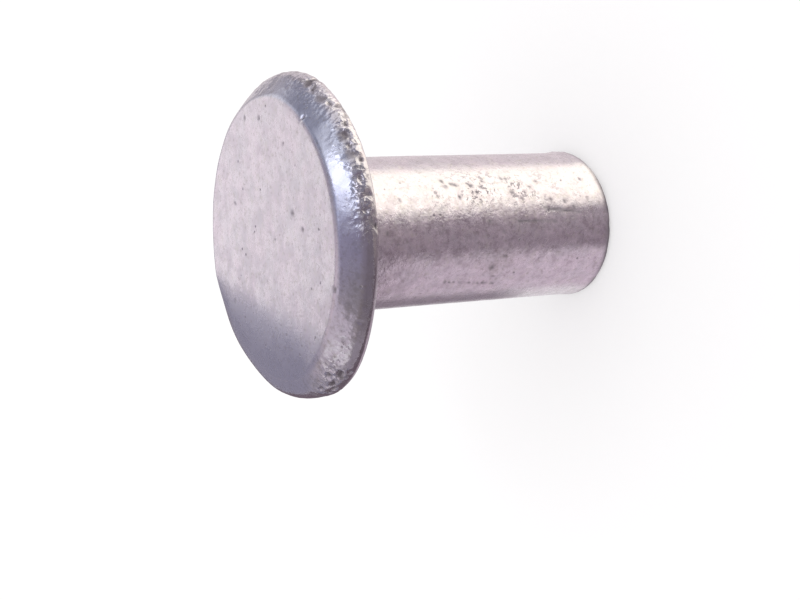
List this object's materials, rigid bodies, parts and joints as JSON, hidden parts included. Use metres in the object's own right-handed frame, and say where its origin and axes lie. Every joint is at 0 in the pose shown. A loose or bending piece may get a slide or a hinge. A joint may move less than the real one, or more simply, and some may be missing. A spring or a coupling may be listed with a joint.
{
  "type": "tubular rivet",
  "caption": "Flat-headed tubular rivet: a bevelled round head on a plain shank with a blind bore in its open end, which is rolled over to clamp sheets.",
  "frame": {"origin": "centre of the shank's open end, on which the rivet stands", "axes": "+Z along the shank towards the flat face of the head; the rivet is round about Z"},
  "size_m": [0.01, 0.01, 0.0111],
  "materials": {
    "aluminium": "dull tumbled aluminium, scuffed, with a nicked rim"
  },
  "bodies": {
    "root": {"rivet": "aluminium"}
  },
  "joints": []
}
